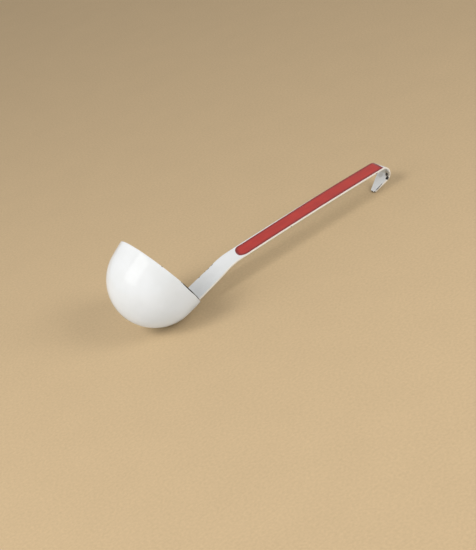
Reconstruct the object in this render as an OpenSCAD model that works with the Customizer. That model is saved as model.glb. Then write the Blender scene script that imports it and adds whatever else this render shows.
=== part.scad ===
// Enamelled soup ladle: a pressed steel bowl, a bent steel strap handle with a
// curled hook, the welds that join them, a white enamel coat and a red grip stripe.
// It lies as it does on a table: on the tang under the bowl and on the tip of the hook.

/* [Bowl] */
// Outside radius of the round of the bowl, over the enamel
bowl_r = 45; // [38:0.5:60]
// Height of the rim above the centre of the round
rim_rise = 9.25; // [6:0.25:20]
// Outward lean of the wall from the round up to the rim, in degrees
wall_flare = 7; // [5:0.5:14]
// Thickness of the bowl's steel sheet
bowl_steel = 0.9; // [0.6:0.05:1.5]

/* [Enamel] */
// Thickness of the white coat, on each side of the steel
coat = 0.25; // [0.15:0.01:0.4]
// Thickness of the red coat, fired on top of the white
stripe_coat = 0.12; // [0.08:0.01:0.25]
// White margin left beside the red stripe, at each edge of the strap
stripe_margin = 0.5; // [0.4:0.1:3]
// Length of white strap between the rim and the start of the red stripe
stripe_start = 63.5; // [60:0.5:120]
// Corner radius of the stripe's rounded start
stripe_corner = 7; // [2:0.5:8]

/* [Handle strap] */
// Thickness of the strap's steel
strap_steel = 1.3; // [1:0.1:2.5]
// Length of the tang's end that lies on the round, below the straight wall
tang_foot = 15; // [4:0.5:22]
// Corner radius of the tang's rounded end
tang_corner = 10; // [4:0.5:10.5]
// Width of the steel at the tang and at the rim
tang_w = 26; // [22:0.5:34]
// Width of the steel at the bowl's end of the grip
grip_w = 22; // [19:0.5:30]
// Width of the steel at the crown, where the hook begins
crown_w = 20.5; // [18.5:0.5:30]
// Straight neck between the rim and the bend
neck_len = 41; // [20:1:70]
// Radius of the neck's bend, at the middle of the steel
bend_r = 64; // [20:1:120]
// Angle of the neck's bend
bend_turn = 16.5; // [5:0.5:25]
// Length of the grip from the bend to the hook
grip_len = 185; // [140:1:260]
// Slight downward arch of the grip along its length, in degrees
grip_arch = 2.2; // [1:0.1:5]

/* [Hook] */
// Radius of the curled hook, at the middle of the steel
hook_r = 7.8; // [6:0.1:14]
// Angle through which the hook curls
hook_turn = 150; // [125:1:160]
// Width of the steel where the curl ends and the tail begins
tail_w = 17.4; // [12:0.2:18.4]
// Length of the straight tail from the curl to the tip
tail_len = 17.5; // [12:0.5:30]
// Width of the steel at the hook's tip
tip_w = 6; // [4.4:0.1:10]
// Corner radius of the tip
tip_corner = 1.8; // [0.5:0.1:2]

/* [Welds] */
// Diameter of each weld
weld_d = 5; // [3:0.5:6]
// Distance of the welds below the rim
weld_drop = 10; // [6:0.5:11]
// Distance between the two welds, across the strap
weld_pitch = 12; // [9:0.5:14]

/* [Hidden] */
$fn = 96;

// Space between the coated bowl and the coated tang, closed by the welds
seat_gap = 0.06;
// Broken edges: of the bare steel strip, of its coat and of the red coat
steel_edge = 0.15;
coat_edge = 0.35;
stripe_edge = stripe_coat / 3;
// How far the wall's foot sinks into the ball, and how much the enamel swells at the rim
wall_nick = 0.02;
lip_swell = 0.05;
// Steps across the strap, and how far a cut runs past a surface
across = 10;
past = 1;

shell_r = bowl_r - coat;
inside_r = shell_r - bowl_steel;
wall_t = bowl_steel + 2 * coat;
strap_t = strap_steel + 2 * coat;
seat_r = bowl_r + seat_gap + strap_t / 2;
wall_len = (rim_rise + bowl_r * sin(wall_flare)) / cos(wall_flare);
rim_r = bowl_r * cos(wall_flare) + wall_len * sin(wall_flare);

// Distances along the middle of the strap, from the end of the tang
function arc_len(r, turn) = r * turn * PI / 180;
s_rim = tang_foot + wall_len;
s_neck = s_rim + neck_len;
s_bend = s_neck + arc_len(bend_r, bend_turn);
s_crown = s_bend + grip_len;
s_curl = s_crown + arc_len(hook_r, hook_turn);
s_tip = s_curl + tail_len;
s_stripe = s_rim + stripe_start;

// The strap's bends in order: length, turn, steps, and where the steps crowd (-1 start, 1 end)
runs = [
    [tang_foot, tang_foot / seat_r * 180 / PI, 9, -1],
    [wall_len, 0, 8, 0],
    [neck_len, 0, 8, 0],
    [s_bend - s_neck, -bend_turn, 5, 0],
    [grip_len, -grip_arch, 10, 0],
    [s_curl - s_crown, -hook_turn, 24, 0],
    [tail_len, 0, 8, 1]
];

// Where the strap is, a distance s along it: [x, z, direction] beside the upright bowl
foot_angle = wall_flare + runs[0][1];
tang_end = [seat_r * cos(foot_angle), -seat_r * sin(foot_angle), 90 - foot_angle];
function along(from, run, part) =
    let (a = from[2], turn = run[1] * part, r = run[1] == 0 ? 0 : run[0] / run[1] * 180 / PI)
    run[1] == 0
        ? [from[0] + run[0] * part * cos(a), from[1] + run[0] * part * sin(a), a]
        : [from[0] + r * (sin(a + turn) - sin(a)), from[1] - r * (cos(a + turn) - cos(a)), a + turn];
function pose(s, i = 0, from = tang_end) =
    (s <= runs[i][0] || i == len(runs) - 1)
        ? along(from, runs[i], s / runs[i][0])
        : pose(s - runs[i][0], i + 1, along(from, runs[i], 1));

// Distances at which the strap is sliced, each run in its own steps
function crowd(t, side) = side < 0 ? t * t : side > 0 ? 1 - (1 - t) * (1 - t) : t;
function run_start(i) = i == 0 ? 0 : run_start(i - 1) + runs[i - 1][0];
slices = concat([0], [
    for (i = [0:len(runs) - 1]) for (k = [1:runs[i][2]])
        run_start(i) + runs[i][0] * crowd(k / runs[i][2], runs[i][3])
]);

// Dish of the strap: it hugs the bowl along the tang and flattens out along the neck
function smooth(t) = t * t * (3 - 2 * t);
function dish(s) =
    s <= tang_foot ? 1 / seat_r
    : 1 / (seat_r + (min(s, s_rim) - tang_foot) * tan(wall_flare))
        * (1 - smooth(max(0, min(1, (s - s_rim) / neck_len))));

// Width of the steel, with the corners of both ends rounded
function corner_cut(d, r) = d >= r ? 0 : 2 * (r - sqrt(max(0, r * r - (r - d) * (r - d))));
function steel_w(s) = lookup(s, [
    [0, tang_w], [s_rim, tang_w], [s_bend, grip_w], [s_crown, crown_w], [s_curl, tail_w], [s_tip, tip_w]
]);
function strap_w(s, grow) = steel_w(s) + 2 * grow
    - corner_cut(s + grow, tang_corner + grow) - corner_cut(s_tip + grow - s, tip_corner + grow);
function stripe_w(s) = steel_w(s) + 2 * coat - 2 * stripe_margin
    - corner_cut(s - s_stripe, stripe_corner);

// A point of the strap: s along it, y across it and h above its middle
function spot(s, y, h) =
    let (p = pose(s), bow = dish(s), swing = y * bow * 180 / PI,
        lift = bow == 0 ? h : 1 / bow - (1 / bow - h) * cos(swing),
        side = bow == 0 ? y : (1 / bow - h) * sin(swing))
    [p[0] - sin(p[2]) * lift, side, p[1] + cos(p[2]) * lift];

// One slice of a band of width w between two heights, with broken edges
function slice(s, w, low, high, edge) =
    let (y = w / 2, flat = y - edge)
    concat(
        [for (k = [0:across]) spot(s, flat * (2 * k / across - 1), high)],
        [spot(s, y, high - edge), spot(s, y, low + edge)],
        [for (k = [0:across]) spot(s, flat * (1 - 2 * k / across), low)],
        [spot(s, -y, low + edge), spot(s, -y, high - edge)]
    );

// A closed skin over equal slices
module loft(rings) {
    m = len(rings[0]);
    n = len(rings);
    sides = [
        for (i = [0:n - 2]) for (k = [0:m - 1])
            let (a = i * m + k, b = i * m + (k + 1) % m)
            each [[a, b, b + m], [a, b + m, a + m]]
    ];
    under = 2 * across + 3;
    cap = concat(
        [for (k = [0:across - 1]) each [[k, k + 1, under - k - 1], [k, under - k - 1, under - k]]],
        [[across, across + 1, across + 2], [across, across + 2, across + 3]],
        [[under, under + 1, under + 2], [under, under + 2, 0]]
    );
    ends = [for (t = cap) each [[t[2], t[1], t[0]], t + (n - 1) * m * [1, 1, 1]]];
    polyhedron(points = [for (r = rings) each r], faces = concat(sides, ends));
}

// The bent strip, grown on every side by the coat or not at all
module strip(grow, edge) {
    half = strap_steel / 2 + grow;
    cuts = concat([-grow], [for (i = [1:len(slices) - 2]) slices[i]], [s_tip + grow]);
    loft([for (s = cuts) slice(s, strap_w(s, grow), -half, half, edge)]);
}

// Bowl outline: a ball, and a leaning wall that grows out of it almost without a kink
module cup(r, top) {
    foot = -r * sin(wall_flare);
    foot_r = r * cos(wall_flare) - wall_nick;
    rise = top - foot;
    intersection() {
        union() {
            sphere(r);
            translate([0, 0, foot]) cylinder(h = rise, r1 = foot_r, r2 = foot_r + rise * tan(wall_flare));
        }
        translate([-2 * r, -2 * r, top - 4 * r]) cube(4 * r);
    }
}

// Pressed bowl, its rim trimmed square and short of the enamel's lip
module steel_bowl() {
    difference() {
        cup(shell_r, rim_rise - coat);
        cup(inside_r, rim_rise + past);
    }
}

// One pin along each weld, square to the wall, from inside one steel to inside the other
module weld_pins() {
    drop_x = rim_r - weld_drop * sin(wall_flare);
    drop_z = rim_rise - weld_drop * cos(wall_flare);
    for (side = [-1, 1])
        rotate([0, 0, side * asin(weld_pitch / 2 / drop_x)])
            translate([drop_x, 0, drop_z])
                rotate([0, 90 + wall_flare, 0])
                    translate([0, 0, -coat - bowl_steel / 2])
                        cylinder(h = bowl_steel / 2 + 2 * coat + strap_steel / 2, d = weld_d, $fn = 48);
}

// Lay the upright ladle down on the tip of its hook and on what is lowest under the bowl:
// the round of the tang, the end of the tang, or the round of the bowl beyond it
tip = under(s_tip + coat, 1);
heel = under(-coat, -1);
tang_out = seat_r + strap_t / 2;
heel_lean = atan2(tip[1] - heel[1], tip[0] - heel[0]);
rests_on_tang = heel_lean + foot_angle > 90;
tilt = rests_on_tang ? lean(tang_out) : max(heel_lean, lean(bowl_r));
lift = rests_on_tang ? tang_out : max(bowl_r, heel[0] * sin(tilt) - heel[1] * cos(tilt));
crown = pose(s_crown);
hook_x = crown[0] + sin(crown[2]) * hook_r;
hook_z = crown[1] - cos(crown[2]) * hook_r;
reach = hook_x * cos(tilt) + hook_z * sin(tilt) + hook_r + strap_t / 2;
function under(s, side) =
    let (p = pose(s)) [p[0] - side * sin(p[2]) * strap_t / 2, p[1] + side * cos(p[2]) * strap_t / 2];
function lean(r) = atan2(tip[1], tip[0]) + asin(r / norm(tip));
module laid_down() {
    translate([(bowl_r - reach) / 2, 0, lift]) rotate([0, tilt, 0]) children();
}

module bowl_shell() {
    color("dimgray") laid_down() steel_bowl();
}

module handle_strap() {
    color("slategray") laid_down() strip(0, steel_edge);
}

// Fused metal between the bowl's sheet and the strap, through both coats
module weld_nuggets() {
    color("goldenrod") laid_down() intersection() {
        weld_pins();
        difference() {
            cup(shell_r + 2 * coat + seat_gap, rim_rise);
            cup(shell_r, rim_rise);
        }
    }
}

// White coat inside, outside and over the rim, which it rounds
module bowl_enamel() {
    lip_r = wall_t / 2 + lip_swell;
    lip_z = rim_rise - lip_r;
    mid_r = bowl_r - wall_t / 2;
    lip_x = mid_r * cos(wall_flare) - wall_nick + (lip_z + mid_r * sin(wall_flare)) * tan(wall_flare);
    color("white") laid_down() difference() {
        union() {
            difference() {
                cup(bowl_r, lip_z);
                cup(bowl_r - wall_t, rim_rise + past);
            }
            translate([0, 0, lip_z]) rotate_extrude() translate([lip_x, 0]) circle(lip_r, $fn = 48);
        }
        steel_bowl();
        weld_pins();
    }
}

// White coat over the whole strap, open only where the welds pass
module handle_enamel() {
    color("whitesmoke") laid_down() difference() {
        strip(coat, coat_edge);
        strip(0, steel_edge);
        weld_pins();
    }
}

// Red coat on the top of the grip, rounded at the bowl's end and square at the crown
module grip_stripe() {
    low = strap_t / 2;
    start = [for (k = [0:8]) s_stripe + stripe_corner * crowd(k / 8, -1)];
    rest = [for (s = slices) if (s > s_stripe + stripe_corner && s <= s_crown + 0.001) s];
    color("firebrick") laid_down()
        loft([for (s = concat(start, rest)) slice(s, stripe_w(s), low, low + stripe_coat, stripe_edge)]);
}

bowl_shell();
handle_strap();
weld_nuggets();
bowl_enamel();
handle_enamel();
grip_stripe();
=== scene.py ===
import math

import bmesh
import bpy
from mathutils import Matrix, Vector, kdtree, noise


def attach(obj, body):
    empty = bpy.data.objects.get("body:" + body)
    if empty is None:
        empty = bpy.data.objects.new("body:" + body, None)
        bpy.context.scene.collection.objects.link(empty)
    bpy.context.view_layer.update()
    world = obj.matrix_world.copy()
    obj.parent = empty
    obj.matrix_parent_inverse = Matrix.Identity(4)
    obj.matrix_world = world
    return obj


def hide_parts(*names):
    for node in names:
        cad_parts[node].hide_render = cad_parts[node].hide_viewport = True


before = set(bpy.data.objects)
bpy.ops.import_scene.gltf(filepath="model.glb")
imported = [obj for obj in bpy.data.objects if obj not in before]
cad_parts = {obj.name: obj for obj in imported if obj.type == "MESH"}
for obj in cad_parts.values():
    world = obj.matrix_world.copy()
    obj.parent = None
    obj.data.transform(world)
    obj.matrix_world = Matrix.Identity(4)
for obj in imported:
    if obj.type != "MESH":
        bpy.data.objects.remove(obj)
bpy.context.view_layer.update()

print("frame loaded:", sorted(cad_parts))

mm = 0.001
body = "ladle"

# Where the ladle lies, in mm and degrees, as in the part's source
lying = {
    "bowlCentre": (-116.959, 0.0, 46.86),
    "tilt": 65.163,          # lean of the bowl's axis from upright, towards the handle
}


def fromHex(code):           # sRGB hex to linear
    parts = [int(code[i:i + 2], 16) / 255 for i in (1, 3, 5)]
    return (*[c / 12.92 if c <= 0.04045 else ((c + 0.055) / 1.055) ** 2.4 for c in parts], 1.0)


def addNode(tree, kind, settings=None, inputs=(), out=0):
    node = tree.nodes.new("ShaderNode" + kind)
    for name, value in (settings or {}).items():
        setattr(node, name, value)
    # Inputs go by name or number, or as a row of values for the first sockets
    for name, value in inputs.items() if isinstance(inputs, dict) else enumerate(inputs):
        if isinstance(value, bpy.types.NodeSocket):
            tree.links.new(value, node.inputs[name])
        else:
            node.inputs[name].default_value = value
    return node if out is None else node.outputs[out]


eased = {"interpolation_type": "SMOOTHSTEP"}     # Map Range: value, from low, high, to low, high
inColour = {"data_type": "RGBA"}                 # Mix: 0 share, 6 and 7 colours, output 2
times, plus, timesPlus, larger, unsigned = (
    {"operation": name} for name in ("MULTIPLY", "ADD", "MULTIPLY_ADD", "MAXIMUM", "ABSOLUTE"))


def newMaterial(name):
    material = bpy.data.materials.new(name)
    material.use_nodes = True
    material.node_tree.nodes.clear()
    return material, material.node_tree


def unevenNormal(tree, where, layers):           # layers: width and height of the swells, in mm
    normal = None
    for width, height in layers:
        swell = addNode(tree, "TexNoise", inputs={
            "Vector": where, "Scale": 1 / (width * mm), "Detail": 1.0})
        inputs = {"Height": swell, "Distance": height * mm}
        if normal:
            inputs["Normal"] = normal
        normal = addNode(tree, "Bump", inputs=inputs)
    return normal


def smooth(t):
    t = max(0.0, min(1.0, t))
    return t * t * (3 - 2 * t)


def between(table, at):      # straight lines between the rows of a table
    if at <= table[0][0]:
        return table[0][1]
    for (a, va), (b, vb) in zip(table, table[1:]):
        if at <= b:
            return va + (vb - va) * (at - a) / (b - a)
    return table[-1][1]


def layDown(bm):             # from beside the upright bowl, in mm, to where the ladle lies, in m
    turn = Matrix.Rotation(math.radians(lying["tilt"]), 3, "Y")
    bmesh.ops.rotate(bm, cent=(0, 0, 0), matrix=turn, verts=bm.verts[:])
    bmesh.ops.translate(bm, vec=lying["bowlCentre"], verts=bm.verts[:])
    bmesh.ops.scale(bm, vec=(mm, mm, mm), verts=bm.verts[:])


def makePiece(name, bm, material, replaced):
    for face in bm.faces:
        face.smooth = True
    mesh = bpy.data.meshes.new(name)
    bm.to_mesh(mesh)
    bm.free()
    piece = bpy.data.objects.new(name, mesh)
    bpy.context.scene.collection.objects.link(piece)
    piece.data.materials.append(material)
    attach(piece, body)
    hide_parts(replaced)
    print("made", name, len(mesh.polygons), "faces")


# Camera, in mm and degrees. Its roll stands for the ladle's, which lies rolled in the picture.
camera = {
    "at": (-504.18, -963.56, 627.81),
    "azimuth": 26.017, "elevation": 30.263, "roll": 18.286,
    "focalPixels": 1280.3, "longSidePixels": 550, "sensorWidth": 36.0,
    "clip": (0.01, 50.0),    # m
}


def addCamera():
    cam = bpy.data.objects.new("camera", bpy.data.cameras.new("camera"))
    bpy.context.scene.collection.objects.link(cam)
    az, el = math.radians(camera["azimuth"]), math.radians(camera["elevation"])
    back = Vector((-math.sin(az) * math.cos(el), -math.cos(az) * math.cos(el), math.sin(el)))
    level = back.to_track_quat("Z", "Y").to_matrix()
    roll = Matrix.Rotation(math.radians(-camera["roll"]), 3, "Z")
    cam.matrix_world = Matrix.Translation(Vector(camera["at"]) * mm) @ (level @ roll).to_4x4()
    cam.data.sensor_width = camera["sensorWidth"]
    cam.data.lens = camera["focalPixels"] * camera["sensorWidth"] / camera["longSidePixels"]
    cam.data.clip_start, cam.data.clip_end = camera["clip"]
    cam.data.dof.use_dof = False
    bpy.context.scene.camera = cam


addCamera()
print("camera placed")

# White porcelain enamel on pressed steel: a glassy milk white, sprayed and fired, with a faint
# orange peel, and a blue-black ground coat, part rusted, where it has chipped. Its edges are
# tinted warm, partly for the thinner coat there and partly as painted light: the warm glow a tan
# floor throws up on them. Sizes are in mm. A span is the stretch of a noise over which a change
# comes in.
white = {
    "milk": "#F3F4F4", "cloud": "#EEEFEE", "cloudSize": 28.0, "cloudSpan": (0.35, 0.7),
    "thinCoatAndFloorLight": "#F6ECDD", "wornGrey": "#85837F", "shadeAndStainBrown": "#A3967A",
    "ground": "#0B0C0E", "groundRust": "#241A14", "rustSize": 1.1, "rustSpan": (0.45, 0.65),
    "gloss": (0.012, 0.04), "glossSize": 17.0, "glossSpan": (0.3, 0.75), "chipGloss": 0.45,
    "ior": 1.5, "peel": [(16.0, 0.012), (3.2, 0.003)],
    "chipDepth": 0.12, "chipEdge": 0.9, "chipSoft": 0.25,    # the last two in chip sizes
    "chipThrough": 1e4,      # tall enough to reach both faces of the strap
    "raggedSize": 0.7, "ragged": 0.7,
    "pinholeGap": 16.0, "pinholes": (0.01, 0.017), "pinholeShare": 0.3,
}


def raggedPatches(tree, where, place, chips):    # 1 where the white has come off, else 0
    ragged = addNode(tree, "TexNoise", inputs={
        "Vector": where, "Scale": 1 / (white["raggedSize"] * mm), "Detail": 3.0,
        "Roughness": 0.6})
    height = addNode(tree, "SeparateXYZ", inputs=(place,), out="Z")
    edge = white["chipEdge"] + white["ragged"] / 2
    found = 0.0
    for chip in chips:
        oval = addNode(tree, "Mapping", {"vector_type": "TEXTURE"}, {
            "Vector": place, "Location": (*chip["at"], 0),
            "Rotation": (0, 0, math.radians(chip.get("turn", 0))),
            "Scale": (*chip["size"], white["chipThrough"])})
        reach = addNode(tree, "VectorMath", {"operation": "LENGTH"}, (oval,), "Value")
        reach = addNode(tree, "Math", timesPlus, (ragged, white["ragged"], reach))
        mask = addNode(tree, "MapRange", eased, (
            reach, edge, edge + white["chipSoft"], 1.0, 0.0))
        if "face" in chip:
            facing = addNode(tree, "Math", times, (height, chip["face"]))
            facing = addNode(tree, "Math", {"operation": "GREATER_THAN"}, (facing, 0.0))
            mask = addNode(tree, "Math", times, (mask, facing))
        mask = addNode(tree, "Math", times, (mask, chip.get("strength", 1.0)))
        found = addNode(tree, "Math", larger, (found, mask))
    return found


def wornLine(tree, where, gap, piece):           # grey and broken, where rubbing thinned the white
    worn = addNode(tree, "MapRange", eased, (gap, *piece["wornReach"], piece["wornShare"], 0.0))
    broken = addNode(tree, "TexNoise", inputs={
        "Vector": where, "Scale": 1 / (piece["wornSize"] * mm), "Detail": 3.0, "Roughness": 0.7})
    broken = addNode(tree, "MapRange", eased, (broken, *piece["wornSpan"]))
    return addNode(tree, "Math", times, (worn, broken))


def pinholes(tree, where):                       # burst bubbles, about half a millimetre wide
    cells = addNode(tree, "TexVoronoi", inputs={
        "Vector": where, "Scale": 1 / (white["pinholeGap"] * mm)}, out=None)
    dots = addNode(tree, "MapRange", eased, (
        cells.outputs["Distance"], *white["pinholes"], 1.0, 0.0))
    chance = addNode(tree, "SeparateColor", inputs=(cells.outputs["Color"],))
    few = addNode(tree, "Math", {"operation": "LESS_THAN"}, (chance, white["pinholeShare"]))
    return addNode(tree, "Math", times, (dots, few))


def whiteEnamel(name, placeName, edgeName, thinReach, findMarks):
    material, tree = newMaterial(name)
    where = addNode(tree, "TexCoord", out="Object")
    place = addNode(tree, "Attribute", {"attribute_name": placeName}, out="Vector")
    edge = addNode(tree, "Attribute", {"attribute_name": edgeName}, out="Fac")
    chipped, tints = findMarks(tree, where, place, edge)
    chipped = addNode(tree, "Math", larger, (chipped, pinholes(tree, where)))

    cloud = addNode(tree, "TexNoise", inputs={
        "Vector": where, "Scale": 1 / (white["cloudSize"] * mm), "Detail": 3.0})
    cloud = addNode(tree, "MapRange", eased, (cloud, *white["cloudSpan"]))
    colour = addNode(tree, "Mix", inColour, {
        0: cloud, 6: fromHex(white["milk"]), 7: fromHex(white["cloud"])}, 2)
    # Edges tinted warm: partly the thinner coat, partly painted light, the warm glow the floor
    # throws up on them
    thin = addNode(tree, "Math", unsigned, (edge,))
    thin = addNode(tree, "MapRange", eased, (thin, 0.0, thinReach, 1.0, 0.0))
    for share, tint in [(thin, "thinCoatAndFloorLight")] + tints:
        colour = addNode(tree, "Mix", inColour, {0: share, 6: colour, 7: fromHex(white[tint])}, 2)
    rust = addNode(tree, "TexNoise", inputs={
        "Vector": where, "Scale": 1 / (white["rustSize"] * mm)})
    rust = addNode(tree, "MapRange", eased, (rust, *white["rustSpan"]))
    dark = addNode(tree, "Mix", inColour, {
        0: rust, 6: fromHex(white["ground"]), 7: fromHex(white["groundRust"])}, 2)
    colour = addNode(tree, "Mix", inColour, {0: chipped, 6: colour, 7: dark}, 2)

    gloss = addNode(tree, "TexNoise", inputs={
        "Vector": where, "Scale": 1 / (white["glossSize"] * mm), "Detail": 4.0,
        "Roughness": 0.6})
    gloss = addNode(tree, "MapRange", eased, (gloss, *white["glossSpan"], *white["gloss"]))
    gloss = addNode(tree, "Mix", inputs={0: chipped, 2: gloss, 3: white["chipGloss"]})

    normal = unevenNormal(tree, where, white["peel"])
    normal = addNode(tree, "Bump", {"invert": True}, {
        "Height": chipped, "Distance": white["chipDepth"] * mm, "Normal": normal})
    shader = addNode(tree, "BsdfPrincipled", inputs={
        "Base Color": colour, "Roughness": gloss, "IOR": white["ior"], "Normal": normal})
    addNode(tree, "OutputMaterial", inputs={"Surface": shader}, out=None)
    return material


# Bowl: pressed steel under the white coat, inside, outside and round the rim
bowl = {
    "radius": 45.0, "wall": 1.4, "flare": 7.0, "rimRise": 9.25, "ballEnd": 8.2, "barrel": 0.07,
    "lipRadius": 0.74, "wallNick": 0.035, "lipBlend": 3.0,
    "rimSpread": 1.8,        # how much wider the rim is than the ball where the wall leaves it
    "aroundSteps": 160, "arcSteps": 32, "wallSteps": 12, "lipSteps": 12, "blendSteps": 3,
    "lipZone": 10.0,         # this far down, outside and inside are told apart by the wall
    "mergeWithin": 0.001,
    # Wear on the rim: mm round it from the handle's side, mm from its crest outwards
    "chips": [
        {"at": (-68.0, 0.45), "size": (11.5, 1.0)},
        {"at": (-51.5, 0.35), "size": (11.0, 0.8)},
        {"at": (-80.5, 0.35), "size": (0.7, 0.5)},
        {"at": (-103.8, 0.3), "size": (0.85, 0.5)},
        {"at": (-25.0, -0.5), "size": (4.0, 0.6)},
        {"at": (8.0, -0.6), "size": (2.4, 0.7)},
        {"at": (31.0, -0.3), "size": (9.0, 0.45)},
        {"at": (68.0, -0.4), "size": (3.0, 0.5)},
        {"at": (98.0, -0.3), "size": (6.0, 0.35)},
    ],
    "thinReach": 1.0,
    "wornAt": -0.12, "wornReach": (0.1, 0.5), "wornShare": 0.85,
    "wornSize": 9.0, "wornSpan": (0.35, 0.55),
}
bowlFlare = math.radians(bowl["flare"])
rimRadius = bowl["radius"] * math.cos(bowlFlare) + bowl["rimSpread"]


def turnFrom(bm, vert, centre, angle, steps):
    made = bmesh.ops.spin(
        bm, geom=[vert], cent=centre, axis=(0, 1, 0), dvec=(0, 0, 0), angle=math.radians(angle),
        steps=steps, use_merge=False, use_normal_flip=False, use_duplicate=False)
    return [g for g in made["geom_last"] if isinstance(g, bmesh.types.BMVert)][0]


def runTo(bm, vert, target, steps):
    stride = (Vector(target) - vert.co) / steps
    for _ in range(steps):
        vert = bmesh.ops.extrude_vert_indiv(bm, verts=[vert])["verts"][0]
        bmesh.ops.translate(bm, vec=stride, verts=[vert])
    return vert


def bowlMarks(tree, where, place, edge):
    axes = addNode(tree, "SeparateXYZ", inputs=(place,), out=None)
    turn = addNode(tree, "Math", {"operation": "ARCTAN2"}, (
        axes.outputs["Y"], axes.outputs["X"]))
    along = addNode(tree, "Math", times, (turn, rimRadius))
    onRim = addNode(tree, "CombineXYZ", inputs=(along, edge))
    chipped = raggedPatches(tree, where, onRim, bowl["chips"])
    crest = addNode(tree, "Math", {"operation": "SUBTRACT"}, (edge, bowl["wornAt"]))
    crest = addNode(tree, "Math", unsigned, (crest,))
    return chipped, [(wornLine(tree, where, crest, bowl), "wornGrey")]


def makeBowl(material):
    up = Vector((math.sin(bowlFlare), 0, math.cos(bowlFlare)))       # along the wall
    out = Vector((math.cos(bowlFlare), 0, -math.sin(bowlFlare)))     # square to it
    half, lipRadius = bowl["wall"] / 2, bowl["lipRadius"]
    lip = out * (bowl["radius"] - half)
    lip += up * ((bowl["rimRise"] - lipRadius - lip.z) / up.z)
    lip.x -= bowl["wallNick"]

    bm = bmesh.new()
    at = bm.verts.new((0, 0, -bowl["radius"]))
    at = turnFrom(bm, at, (0, 0, 0), bowl["ballEnd"] - 90, bowl["arcSteps"])
    foot = at.co.copy()
    at = runTo(bm, at, lip + out * lipRadius, bowl["wallSteps"])
    for v in bm.verts:       # the outer wall is slightly barrelled, so the ball runs into it
        t = (v.co.z - foot.z) / (at.co.z - foot.z)
        if 0 < t < 1:
            v.co.x += 4 * bowl["barrel"] * t * (1 - t)
    at = turnFrom(bm, at, lip, -180, bowl["lipSteps"])
    at = runTo(bm, at, lip - up * bowl["lipBlend"] - out * half, bowl["blendSteps"])
    at = runTo(bm, at, out * (bowl["radius"] - bowl["wall"]), bowl["wallSteps"])
    turnFrom(bm, at, (0, 0, 0), 90 - bowl["flare"], bowl["arcSteps"])
    bmesh.ops.spin(
        bm, geom=bm.verts[:] + bm.edges[:], cent=(0, 0, 0), axis=(0, 0, 1), dvec=(0, 0, 0),
        angle=math.tau, steps=bowl["aroundSteps"], use_merge=True, use_normal_flip=False,
        use_duplicate=False)
    bmesh.ops.remove_doubles(bm, verts=bm.verts[:], dist=bowl["mergeWithin"])
    bmesh.ops.recalc_face_normals(bm, faces=bm.faces[:])

    # Distance from the lip's crest, down the outside and, below nought, down the inside
    place = bm.verts.layers.float_vector.new("bowlPlace")
    fromCrest = bm.verts.layers.float.new("fromCrest")
    for v in bm.verts:
        v[place] = v.co
        off = Vector((math.hypot(v.co.x, v.co.y), 0, v.co.z)) - lip
        rise, side = off.dot(up), off.dot(out)
        if rise >= 0:
            v[fromCrest] = lipRadius * math.atan2(side, rise)
        else:
            nearLip = rise > -bowl["lipZone"]
            outside = side > 0 if nearLip else v.co.length > bowl["radius"] - half
            v[fromCrest] = (lipRadius * math.pi / 2 - rise) * (1 if outside else -1)
    layDown(bm)
    makePiece("bowlEnamel", bm, material, "bowl_enamel")


# Handle: one steel strip, blanked, bent and coated white
strap = {
    "thick": 1.8, "edgeRound": 0.55, "coat": 0.25,
    "footLength": 15.0, "seatRadius": 45.96, "neckLength": 41.0,
    "bendRadius": 64.0, "bendTurn": 16.5, "gripLength": 185.0, "gripArch": 2.2,
    "hookRadius": 7.8, "hookTurn": 150.0, "tailLength": 17.5,
    "tangWidth": 26.0, "gripWidth": 22.0, "crownWidth": 20.5, "tailWidth": 17.4, "tipWidth": 6.0,
    "tangCorner": 10.0, "tipCorner": 1.8, "pastCorner": 1.0,
    "kinkEase": 2.0,         # mm over which the sides turn from one taper to the next
    "weldDrop": 10.0, "weldSide": 6.0, "weldRadius": 3.2, "weldDimple": 0.1,
    "edgeRows": 5, "flatRows": 12,
    "steps": {"corner": 24, "tang": 30, "neck": 34, "bend": 18, "grip": 100, "curl": 56,
              "tail": 20, "tip": 16},
    # Chips, and at the tip's end a painted shadow: mm from the rim, mm across, on the top (face
    # 1), the underside (-1) or both
    "chips": [
        {"at": (260.0, -5.5), "size": (1.8, 1.6), "face": -1},
        {"at": (263.7, -7.5), "size": (2.1, 1.7), "turn": 11, "face": -1},
        {"at": (276.0, -4.75), "size": (5.4, 0.4), "turn": 14.7, "face": -1},
        {"at": (235.4, -10.4), "size": (1.0, 0.6), "face": -1},
        {"at": (34.0, 11.9), "size": (1.9, 0.9), "strength": 0.75},
        {"at": (39.4, 11.7), "size": (1.6, 0.8), "strength": 0.75},
        {"at": (30.0, 12.0), "size": (0.7, 0.6)},
        {"at": (22.0, 12.2), "size": (1.2, 0.6)},
        # These two are worn spots at the tip's end, drawn dark and wide to be its contact shadow
        # as well: partly wear, partly painted shadow
        {"at": (282.7, 1.2), "size": (0.5, 2.0)},
        {"at": (282.2, -2.9), "size": (0.7, 0.5)},
        {"at": (-29.6, 2.5), "size": (0.6, 1.6)},
        {"at": (123.0, -11.3), "size": (0.6, 0.5), "face": -1},
        {"at": (201.0, 10.7), "size": (0.9, 0.45), "face": -1},
        {"at": (255.0, 9.9), "size": (1.6, 0.5), "face": 1},
    ],
    "shadeAndStains": [              # painted shade: brown darkening inside the curl, under the crown; and a brown patch round the dot
        {"at": (251.5, 1.0), "size": (8.0, 9.0), "face": -1, "strength": 0.42},
        {"at": (261.5, 3.5), "size": (4.6, 3.2), "turn": -20, "face": -1, "strength": 0.24},
        {"at": (258.5, -6.2), "size": (4.5, 3.4), "face": -1, "strength": 0.75},
    ],
    "thinReach": 0.7,
    "wornReach": (0.0, 0.25), "wornShare": 0.6, "wornSize": 6.0, "wornSpan": (0.6, 0.72),
}
wallLength = (bowl["rimRise"] + bowl["radius"] * math.sin(bowlFlare)) / math.cos(bowlFlare)
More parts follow.
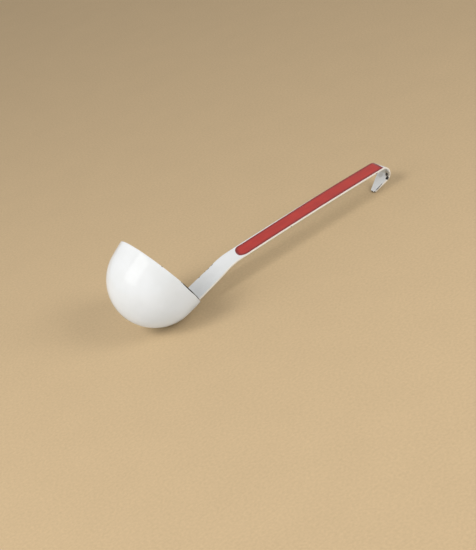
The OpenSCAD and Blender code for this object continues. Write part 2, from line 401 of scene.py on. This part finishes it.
strapRuns = [                # length and turn of each run, from the tang's end
    (strap["footLength"], math.degrees(strap["footLength"] / strap["seatRadius"])),
    (wallLength, 0.0),
    (strap["neckLength"], 0.0),
    (strap["bendRadius"] * math.radians(strap["bendTurn"]), -strap["bendTurn"]),
    (strap["gripLength"], -strap["gripArch"]),
    (strap["hookRadius"] * math.radians(strap["hookTurn"]), -strap["hookTurn"]),
    (strap["tailLength"], 0.0),
]
runEnds = [sum(run[0] for run in strapRuns[:i + 1]) for i in range(len(strapRuns))]
footEnd, rimAt, neckEnd, bendEnd, crownAt, curlEnd, tipAt = runEnds
strapWidths = [
    (0, strap["tangWidth"]), (rimAt, strap["tangWidth"]), (bendEnd, strap["gripWidth"]),
    (crownAt, strap["crownWidth"]), (curlEnd, strap["tailWidth"]), (tipAt, strap["tipWidth"]),
]


def strapMiddle(s):          # x, z and direction of the strap's middle beside the upright bowl
    turn = bowlFlare + math.radians(strapRuns[0][1])
    x, z = strap["seatRadius"] * math.cos(turn), -strap["seatRadius"] * math.sin(turn)
    angle, start = math.pi / 2 - turn, 0.0
    for i, (length, bend) in enumerate(strapRuns):
        part = (s - start) / length
        if i < len(strapRuns) - 1:
            part = min(part, 1.0)
        if bend == 0:
            x += length * part * math.cos(angle)
            z += length * part * math.sin(angle)
        else:
            radius, more = length / math.radians(bend), math.radians(bend) * part
            x += radius * (math.sin(angle + more) - math.sin(angle))
            z -= radius * (math.cos(angle + more) - math.cos(angle))
            angle += more
        start += length
        if s <= start:
            break
    return x, z, angle


def strapDish(s):            # the tang hugs the bowl, and the neck flattens out
    if s <= footEnd:
        return 1 / strap["seatRadius"]
    radius = strap["seatRadius"] + (min(s, rimAt) - footEnd) * math.tan(bowlFlare)
    return (1 - smooth((s - rimAt) / strap["neckLength"])) / radius


def strapPoint(s, y, h):
    x, z, angle = strapMiddle(s)
    bow = strapDish(s)
    if bow == 0:
        lift, side = h, y
    else:
        lift = 1 / bow - (1 / bow - h) * math.cos(y * bow)
        side = (1 / bow - h) * math.sin(y * bow)
    return Vector((x - math.sin(angle) * lift, side, z + math.cos(angle) * lift))


def halfWidth(s):            # with the coat, before the corners are rounded; its kinks are eased
    widths = [between(strapWidths, s + strap["kinkEase"] * k) for k in (-2, -1, 0, 1, 2)]
    return sum(widths) / len(widths) / 2 + strap["coat"]


def cornerCut(fromEnd, radius):
    if fromEnd >= radius:
        return 0.0
    return radius - math.sqrt(max(0.0, radius ** 2 - (radius - fromEnd) ** 2))


def cutWidth(s):
    coat = strap["coat"]
    return (halfWidth(s) - cornerCut(s + coat, strap["tangCorner"] + coat)
            - cornerCut(tipAt + coat - s, strap["tipCorner"] + coat))


def edgeGap(s, y):           # distance in from the strap's outline
    coat = strap["coat"]
    side = halfWidth(s) - abs(y)
    if s < rimAt:
        end, radius = s + coat, strap["tangCorner"] + coat
    else:
        end, radius = tipAt + coat - s, strap["tipCorner"] + coat
    if end < radius and side < radius:
        return max(0.0, radius - math.hypot(radius - end, radius - side))
    return max(0.0, min(end, side))


def edgeDrop(gap):           # how far the rounded edge falls below the strap's face
    r = strap["edgeRound"]
    return 0.0 if gap >= r else r - math.sqrt(r * r - (r - gap) ** 2)


def zone(start, end, steps, crowd=0):   # crowd -1 packs the steps at the start, 1 at the end
    parts = [k / steps for k in range(steps)]
    spread = [t * t if crowd < 0 else 1 - (1 - t) ** 2 if crowd > 0 else t for t in parts]
    return [start + (end - start) * t for t in spread]


def addTop(bm, rise):        # a second sheet above a flat one, joined to it all round
    made = bmesh.ops.extrude_face_region(
        bm, geom=bm.verts[:] + bm.edges[:] + bm.faces[:], use_keep_orig=True)
    top = [g for g in made["geom"] if isinstance(g, bmesh.types.BMVert)]
    bmesh.ops.translate(bm, vec=(0, 0, rise), verts=top)


def handleMarks(tree, where, place, edge):
    chipped = raggedPatches(tree, where, place, strap["chips"])
    # The first two patches are painted shade inside the curl; the third is brown round the dot
    stained = raggedPatches(tree, where, place, strap["shadeAndStains"])
    return chipped, [(stained, "shadeAndStainBrown"), (wornLine(tree, where, edge, strap), "wornGrey")]


def makeHandle(material):
    coat, half, steps = strap["coat"], strap["thick"] / 2, strap["steps"]
    cornerEnd = strap["tangCorner"] + strap["pastCorner"]
    tipStart = tipAt - strap["tipCorner"] - strap["pastCorner"]
    stations = (
        zone(-coat, cornerEnd, steps["corner"], -1) + zone(cornerEnd, rimAt, steps["tang"])
        + zone(rimAt, neckEnd, steps["neck"]) + zone(neckEnd, bendEnd, steps["bend"])
        + zone(bendEnd, crownAt, steps["grip"]) + zone(crownAt, curlEnd, steps["curl"])
        + zone(curlEnd, tipStart, steps["tail"])
        + zone(tipStart, tipAt + coat, steps["tip"], 1) + [tipAt + coat])
    flatRows, edgeRows = strap["flatRows"], strap["edgeRows"]
    rows = flatRows + edgeRows
    bm = bmesh.new()
    bmesh.ops.create_grid(bm, x_segments=len(stations) - 1, y_segments=2 * rows, size=1)
    for v in bm.verts:
        s = stations[round((v.co.x + 1) / 2 * (len(stations) - 1))]
        row = round(v.co.y * rows)
        if abs(row) <= flatRows:
            y = (cutWidth(s) - strap["edgeRound"]) * row / flatRows
        else:                # closer together over the rounded edge
            turn = math.pi / 2 * (1 - (abs(row) - flatRows) / edgeRows)
            y = cutWidth(s) - strap["edgeRound"] * (1 - math.cos(turn))
            y = math.copysign(y, row)
        v.co = (s, y, -half)
    addTop(bm, 2 * half)

    place = bm.verts.layers.float_vector.new("strapPlace")
    gapLayer = bm.verts.layers.float.new("strapEdge")
    for v in bm.verts:
        s, y, h = v.co
        gap = edgeGap(s, y)
        h = math.copysign(half - edgeDrop(gap), h)
        if h < 0:            # the welds drew the tang's outer face in a little
            off = math.hypot(s - rimAt + strap["weldDrop"], abs(y) - strap["weldSide"])
            h += strap["weldDimple"] * smooth(1 - off / strap["weldRadius"])
        v[place] = (s - rimAt, y, h)
        v[gapLayer] = gap
        v.co = strapPoint(s, y, h)
    bmesh.ops.recalc_face_normals(bm, faces=bm.faces[:])
    layDown(bm)
    makePiece("handleEnamel", bm, material, "handle_enamel")


# Red stripe, brushed on by hand over the white of the grip and fired again. Its places are in
# mm from the rim, and its margins in mm of white left beside it.
stripe = {
    "coat": 0.12, "sunk": 0.08, "edgeSoft": 0.4, "edgeSink": 0.01,
    "startAt": 62.1, "startSide": -4.5, "nearRound": 8.4, "farRound": 9.4,
    "farFullness": 1.85,     # 2 would be a quarter of an ellipse
    "endNear": 245.5, "endFar": 248.8, "endReach": 16.0, "nearMargin": 0.6,
    "farMargins": [(66, 1.3), (78, 1.95), (90, 1.8), (110, 1.65), (125, 1.35), (140, 1.1),
                   (155, 0.85), (172, 0.6), (200, 0.42), (249, 0.3)],
    "waver": 0.06, "waverLength": 7.0, "farSeed": 3.0, "nearSeed": 9.0,
    "rows": 36, "steps": {"start": 34, "middle": 90, "end": 26}, "outlineSteps": 24,
    "mergeWithin": 0.0005,
}


def makeStripe(material):
    start, side, reach = stripe["startAt"], stripe["startSide"], stripe["endReach"]
    nearEnd, farEnd = start + stripe["nearRound"], start + stripe["farRound"]
    endMid = (stripe["endNear"] + stripe["endFar"]) / 2
    endSkew = (stripe["endFar"] - stripe["endNear"]) / 2

    def waver(s, seed):
        return stripe["waver"] * noise.noise(Vector((s / stripe["waverLength"], seed, 0)))

    def farSide(s):
        margin, power = between(stripe["farMargins"], s), stripe["farFullness"]
        full = halfWidth(s + rimAt) - margin + waver(s, stripe["farSeed"])
        t = max(0.0, (farEnd - s) / stripe["farRound"])
        return side + (full - side) * max(0.0, 1 - t ** power) ** (1 / power)

    def nearSide(s):
        full = -halfWidth(s + rimAt) + stripe["nearMargin"] + waver(s, stripe["nearSeed"])
        t = max(0.0, (nearEnd - s) / stripe["nearRound"])
        return side + (full - side) * math.sqrt(max(0.0, 1 - t * t))

    steps = stripe["steps"]
    stations = (zone(start, farEnd, steps["start"], -1)
                + zone(farEnd, endMid - reach, steps["middle"])
                + zone(endMid - reach, endMid, steps["end"], 1) + [endMid])
    last, rows = len(stations) - 1, stripe["rows"]

    def onStripe(i, row):    # row nought is the middle
        s = stations[i]
        far, near = farSide(s), nearSide(s)
        y = (far + near) / 2 + (far - near) / 2 * math.sin(row / rows * math.pi)
        s += endSkew * smooth((s - endMid + reach) / reach) * y / halfWidth(s + rimAt)
        return s, y

    outline = [onStripe(i, sign * rows / 2) for i in range(last + 1) for sign in (-1, 1)]
    outline += [onStripe(last, row - rows / 2) for row in range(rows + 1)]
    finer = stripe["outlineSteps"]
    for i in range(last):    # close enough together for the distances to them
        for sign in (-1, 1):
            a, b = onStripe(i, sign * rows / 2), onStripe(i + 1, sign * rows / 2)
            outline += [(a[0] + (b[0] - a[0]) * k / finer, a[1] + (b[1] - a[1]) * k / finer)
                        for k in range(1, finer)]
    near = kdtree.KDTree(len(outline))
    for i, (s, y) in enumerate(outline):
        near.insert((s, y, 0), i)
    near.balance()

    bm = bmesh.new()
    bmesh.ops.create_grid(bm, x_segments=last, y_segments=rows, size=1)
    for v in bm.verts:
        i = round((v.co.x + 1) / 2 * last)
        v.co = (*onStripe(i, round(v.co.y * rows / 2)), 0)
    addTop(bm, 1)
    place = bm.verts.layers.float_vector.new("stripePlace")
    gapLayer = bm.verts.layers.float.new("stripeEdge")
    for v in bm.verts:
        s, y, isTop = v.co
        gap = near.find((s, y, 0))[2]
        h = strap["thick"] / 2 - edgeDrop(halfWidth(s + rimAt) - abs(y))
        rise = min(1.0, gap / stripe["edgeSoft"])
        if isTop:
            h += stripe["coat"] * (math.sqrt(1 - (1 - rise) ** 2)) - stripe["edgeSink"]
        else:
            h -= stripe["sunk"]
        v[place] = (s, y, h)
        v[gapLayer] = gap
        v.co = strapPoint(s + rimAt, y, h)
    bmesh.ops.remove_doubles(bm, verts=bm.verts[:], dist=stripe["mergeWithin"])
    bmesh.ops.recalc_face_normals(bm, faces=bm.faces[:])
    layDown(bm)
    makePiece("gripStripe", bm, material, "grip_stripe")


# Red cadmium enamel, fired over the white: glossy, with a faint brush drag along the grip, and
# darker in a band along its own edge. The brush lines are drawn wider than a real brush's, which
# would be too fine to show.
red = {
    "deep": "#B0190B", "light": "#C02410", "lightSpan": (0.7, 1.3), "patchSize": 14.0,
    "thick": "#7E120A", "edgeDarkReach": (1.2, 4.0), "edgeDarkShare": 0.85,
    "wander": 0.8, "wanderSize": 5.0,
    "dragLength": 22.0, "dragWidth": 1.1, "dragHeight": 0.004,
    "gloss": (0.1, 0.2), "glossSize": 12.0, "glossSpan": (0.3, 0.7),
    "ior": 1.46, "peel": [(3.2, 0.005)],
}


def redEnamel():
    material, tree = newMaterial("redEnamel")
    where = addNode(tree, "TexCoord", out="Object")
    place = addNode(tree, "Attribute", {"attribute_name": "stripePlace"}, out="Vector")
    edge = addNode(tree, "Attribute", {"attribute_name": "stripeEdge"}, out="Fac")
    drawn = addNode(tree, "Mapping", inputs={"Vector": place, "Scale": (
        1 / red["dragLength"], 1 / red["dragWidth"], 1 / red["dragWidth"])})
    drag = addNode(tree, "TexNoise", inputs={"Vector": drawn, "Scale": 1.0, "Detail": 2.0})
    patchy = addNode(tree, "TexNoise", inputs={
        "Vector": where, "Scale": 1 / (red["patchSize"] * mm), "Detail": 3.0})
    share = addNode(tree, "Math", plus, (drag, patchy))
    share = addNode(tree, "MapRange", eased, (share, *red["lightSpan"]))
    colour = addNode(tree, "Mix", inColour, {
        0: share, 6: fromHex(red["deep"]), 7: fromHex(red["light"])}, 2)
    wander = addNode(tree, "TexNoise", inputs={
        "Vector": where, "Scale": 1 / (red["wanderSize"] * mm)})
    # A band darker along the stripe's own edge
    gap = addNode(tree, "Math", timesPlus, (wander, -red["wander"], edge))
    reach = [at - red["wander"] / 2 for at in red["edgeDarkReach"]]
    thick = addNode(tree, "MapRange", eased, (gap, *reach, red["edgeDarkShare"], 0.0))
    colour = addNode(tree, "Mix", inColour, {0: thick, 6: colour, 7: fromHex(red["thick"])}, 2)
    gloss = addNode(tree, "TexNoise", inputs={
        "Vector": where, "Scale": 1 / (red["glossSize"] * mm), "Detail": 4.0})
    gloss = addNode(tree, "MapRange", eased, (gloss, *red["glossSpan"], *red["gloss"]))
    normal = addNode(tree, "Bump", inputs={
        "Height": drag, "Distance": red["dragHeight"] * mm,
        "Normal": unevenNormal(tree, where, red["peel"])})
    shader = addNode(tree, "BsdfPrincipled", inputs={
        "Base Color": colour, "Roughness": gloss, "IOR": red["ior"], "Normal": normal})
    addNode(tree, "OutputMaterial", inputs={"Surface": shader}, out=None)
    return material


makeBowl(whiteEnamel(
    "whiteEnamelBowl", "bowlPlace", "fromCrest", bowl["thinReach"], bowlMarks))
makeHandle(whiteEnamel(
    "whiteEnamelHandle", "strapPlace", "strapEdge", strap["thinReach"], handleMarks))
makeStripe(redEnamel())

# Steel under the enamel: low-carbon sheet, pickled dull grey before coating, and the weld
# spots, blued by their heat. Hidden, but there when the coats are taken off. Its grain and
# rolling lines are drawn coarse enough to show.
steel = {
    "sheet": ("#7B7873", "#5E5B57"), "weld": ("#5A5C68", "#6B5A48"), "grainSize": 1.4,
    "rollLength": 30.0, "rollWidth": 0.5, "rollHeight": 0.003,
    "roughness": (0.36, 0.5), "roughSpan": (0.3, 0.7),
}


def pickledSteel(name, colours):
    material, tree = newMaterial(name)
    where = addNode(tree, "TexCoord", out="Object")
    rolled = addNode(tree, "Mapping", inputs={"Vector": where, "Scale": (
        1 / (steel["rollLength"] * mm), 1 / (steel["rollWidth"] * mm),
        1 / (steel["rollWidth"] * mm))})
    lines = addNode(tree, "TexNoise", inputs={"Vector": rolled, "Scale": 1.0, "Detail": 2.0})
    grain = addNode(tree, "TexNoise", inputs={
        "Vector": where, "Scale": 1 / (steel["grainSize"] * mm), "Detail": 4.0})
    colour = addNode(tree, "Mix", inColour, {
        0: grain, 6: fromHex(colours[0]), 7: fromHex(colours[1])}, 2)
    rough = addNode(tree, "MapRange", eased, (grain, *steel["roughSpan"], *steel["roughness"]))
    normal = addNode(tree, "Bump", inputs={
        "Height": lines, "Distance": steel["rollHeight"] * mm})
    shader = addNode(tree, "BsdfPrincipled", inputs={
        "Base Color": colour, "Metallic": 1.0, "Roughness": rough, "Normal": normal})
    addNode(tree, "OutputMaterial", inputs={"Surface": shader}, out=None)
    return material


sheetSteel = pickledSteel("pickledSheetSteel", steel["sheet"])
weldSteel = pickledSteel("weldedSteel", steel["weld"])
for node, material in (("bowl_shell", sheetSteel), ("handle_strap", sheetSteel),
                       ("weld_nuggets", weldSteel)):
    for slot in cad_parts[node].material_slots:
        slot.material = material
    print("steel on", node)

# Floor and light. The floor is matt tan paper, faintly clouded, with fibres drawn coarser than
# real ones, which would be too fine to show. Its pattern's sizes are in mm, all others in m. A
# lamp's toward is its direction from the bowl.
studio = {
    "floor": "#D0B58D", "bounce": "#D8D5CF", "floorSize": 20.0, "floorRoughness": 0.9,
    "fibreSize": 2.4, "cloudSize": 45.0, "fibre": 0.26, "cloud": 0.06,
    "sky": "#FCFCFC", "skyLevel": 0.29,
    "skySides": [((0, 1, 0), 0.45), ((-1, 0, 0), 0.58), ((1, 0, 0), 0.35)],
    "lamps": {
        "window": {"toward": (-0.740, -0.038, 0.672), "away": 1.317, "size": (0.9, 0.78),
                   "turn": -11.5, "watts": 3.8, "glare": True},
        # These two throw the soft shadows, and add no glare
        "daylight": {"toward": (-0.62, -0.06, 0.78), "away": 1.3, "size": (0.42, 0.42),
                     "turn": 0.0, "watts": 4.4, "glare": False},
        "room": {"toward": (0.42, -0.71, 0.56), "away": 1.3, "size": (0.6, 0.6),
                 "turn": 0.0, "watts": 5.8, "glare": False},
    },
}


def addFloor():
    bm = bmesh.new()
    bmesh.ops.create_grid(bm, x_segments=1, y_segments=1, size=studio["floorSize"])
    mesh = bpy.data.meshes.new("floor")
    bm.to_mesh(mesh)
    bm.free()
    floor = bpy.data.objects.new("floor", mesh)
    bpy.context.scene.collection.objects.link(floor)
    material, tree = newMaterial("paperFloor")
    where = addNode(tree, "TexCoord", out="Object")
    level = 1.0 - (studio["fibre"] + studio["cloud"]) / 2
    for name in ("fibre", "cloud"):
        mottle = addNode(tree, "TexNoise", inputs={
            "Vector": where, "Scale": 1 / (studio[name + "Size"] * mm), "Detail": 3.0})
        level = addNode(tree, "Math", timesPlus, (mottle, studio[name], level))
    paper = addNode(tree, "Mix", {"data_type": "RGBA", "blend_type": "MULTIPLY"}, {
        0: 1.0, 6: fromHex(studio["floor"]), 7: level}, 2)
    # The pale tan is for the eye and for reflections: what it throws up on the white is milder
    rays = addNode(tree, "LightPath", out=None)
    seen = rays.outputs["Is Camera Ray"]
    for other in ("Is Glossy Ray", "Is Transmission Ray"):
        seen = addNode(tree, "Math", larger, (seen, rays.outputs[other]))
    colour = addNode(tree, "Mix", inColour, {0: seen, 6: fromHex(studio["bounce"]), 7: paper}, 2)
    shader = addNode(tree, "BsdfPrincipled", inputs={
        "Base Color": colour, "Roughness": studio["floorRoughness"]})
    addNode(tree, "OutputMaterial", inputs={"Surface": shader}, out=None)
    mesh.materials.append(material)


def addSky():                # a tent of white, brighter low down on all sides but the near one
    world = bpy.data.worlds.new("studio")
    world.use_nodes = True
    bpy.context.scene.world = world
    tree = world.node_tree
    tree.nodes.clear()
    toward = addNode(tree, "TexCoord", out="Generated")
    level = studio["skyLevel"]
    for way, amount in studio["skySides"]:
        side = addNode(tree, "VectorMath", {"operation": "DOT_PRODUCT"}, (toward, way), "Value")
        side = addNode(tree, "Math", larger, (side, 0.0))
        side = addNode(tree, "Math", times, (side, side))
        level = addNode(tree, "Math", timesPlus, (side, amount, level))
    sky = addNode(tree, "Background", inputs={"Color": fromHex(studio["sky"]), "Strength": level})
    addNode(tree, "OutputWorld", inputs={"Surface": sky}, out=None)


def addSoftbox(name, box):
    toward = Vector(box["toward"]).normalized()
    lamp = bpy.data.objects.new(name, bpy.data.lights.new(name, "AREA"))
    lamp.data.shape = "RECTANGLE"
    lamp.data.size, lamp.data.size_y = box["size"]
    lamp.data.energy = box["watts"]
    lamp.visible_glossy = box["glare"]
    upward = Vector((0, 1, 0)).cross(toward).normalized()
    facing = Matrix((upward, toward.cross(upward), toward)).transposed()
    turned = facing @ Matrix.Rotation(math.radians(box["turn"]), 3, "Z")
    lamp.matrix_world = (
        Matrix.Translation(Vector(lying["bowlCentre"]) * mm + toward * box["away"])
        @ turned.to_4x4())
    bpy.context.scene.collection.objects.link(lamp)


addFloor()
addSky()
for name, box in studio["lamps"].items():
    addSoftbox(name, box)
bpy.context.scene.view_settings.view_transform = "Standard"
print("studio lit")
